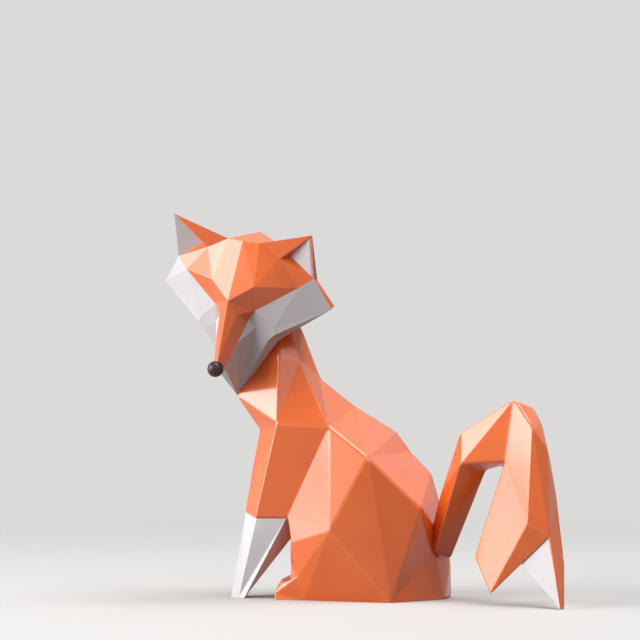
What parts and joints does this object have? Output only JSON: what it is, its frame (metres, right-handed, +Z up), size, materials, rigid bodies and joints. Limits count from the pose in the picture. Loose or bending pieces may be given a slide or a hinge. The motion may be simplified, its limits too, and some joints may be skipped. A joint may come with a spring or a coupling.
{
  "type": "fox figurine",
  "caption": "Sitting fox ornament in a folded-paper style, flat facets, head turned aside, tail arched over to the floor, flat felted seat.",
  "frame": {"origin": "middle of the flat felted seat, on the table, in the body's plane of symmetry", "axes": "+Z up; the chest faces -X and the tail is at +X; the fox's left side, where the head looks and the tail comes round, faces -Y"},
  "size_m": [0.2155, 0.1135, 0.2116],
  "materials": {
    "orange_paint": "satin paint on cast resin",
    "white_paint": "satin paint on cast resin",
    "dark_gloss_paint": "gloss paint on a resin ball",
    "base_board": "plain fibreboard",
    "felt": "pressed felt",
    "steel_pin": "plain",
    "wood_dowel": "plain"
  },
  "bodies": {
    "root": {"base_felt": "felt", "base_plate": "base_board", "cheek_ruff": "white_paint", "face_mask": "orange_paint", "forefoot_pins": "steel_pin", "left_ear": "orange_paint", "left_ear_lining": "white_paint", "left_forefoot": "white_paint", "neck_dowel": "wood_dowel", "nose_ball": "dark_gloss_paint", "right_ear": "orange_paint", "right_ear_lining": "white_paint", "right_forefoot": "white_paint", "skull_casting": "orange_paint", "tail_arch": "orange_paint", "tail_brush": "orange_paint", "tail_dowel": "steel_pin", "tail_pins": "steel_pin", "tail_stem": "orange_paint", "tail_tip": "white_paint", "torso_casting": "orange_paint"}
  },
  "joints": []
}
